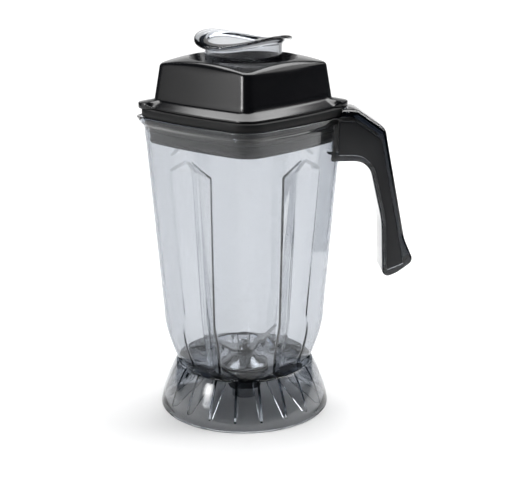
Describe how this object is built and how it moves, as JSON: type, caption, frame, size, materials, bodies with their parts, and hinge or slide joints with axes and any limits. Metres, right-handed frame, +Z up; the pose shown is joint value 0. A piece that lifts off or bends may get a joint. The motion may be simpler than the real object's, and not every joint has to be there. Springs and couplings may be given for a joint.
{
  "type": "blender jar",
  "caption": "Square see-through blender jar with blade set, pistol handle, pouring lip, bell-shaped skirt, lift-off lid and filler cap.",
  "frame": {"origin": "centre of the skirt's bore, at the surface that the skirt stands on", "axes": "+Z up along the jar's axis, +X towards the handle, -X towards the pouring lip, -Y towards the viewer"},
  "size_m": [0.2282, 0.1688, 0.3175],
  "materials": {
    "smoke_copolyester": "clear, smoke tint, polished",
    "grip_plastic": "fine matt",
    "lid_plastic": "polished",
    "seal_rubber": "matt",
    "blade_steel": "brushed",
    "bearing_steel": "ground",
    "nut_plastic": "matt"
  },
  "bodies": {
    "jar": {"jar_body": "smoke_copolyester", "jar_skirt": "smoke_copolyester", "jar_handle": "smoke_copolyester", "grip_panel_front": "grip_plastic", "grip_panel_back": "grip_plastic", "bearing_housing": "blade_steel", "floor_gasket": "seal_rubber", "nut_washer": "bearing_steel", "retaining_nut": "nut_plastic", "upper_bearing": "bearing_steel", "lower_bearing": "bearing_steel", "bearing_spacer": "bearing_steel", "circlip": "bearing_steel", "shaft_seal": "seal_rubber"},
    "rotor": {"drive_shaft": "bearing_steel", "upper_blade": "blade_steel", "lower_blade": "blade_steel", "blade_nut": "blade_steel", "blade_washer": "blade_steel", "blade_spacer": "blade_steel", "upper_race": "bearing_steel", "lower_race": "bearing_steel", "race_spacer": "bearing_steel", "drive_socket": "bearing_steel"},
    "lid": {"lid_body": "lid_plastic", "lid_gasket": "seal_rubber"},
    "cap": {"filler_cap": "smoke_copolyester"}
  },
  "joints": [
    {"name": "blade_spin", "type": "hinge", "parent": "jar", "child": "rotor", "pos_m": [0, 0, 0.03], "axis": [0, 0, 1], "continuous": true},
    {"name": "lid_lift", "type": "slide", "parent": "jar", "child": "lid", "axis": [0, 0, 1], "range_m": [0, 0.06]},
    {"name": "cap_lift", "type": "slide", "parent": "lid", "child": "cap", "axis": [0, 0, 1], "range_m": [0, 0.05]}
  ]
}
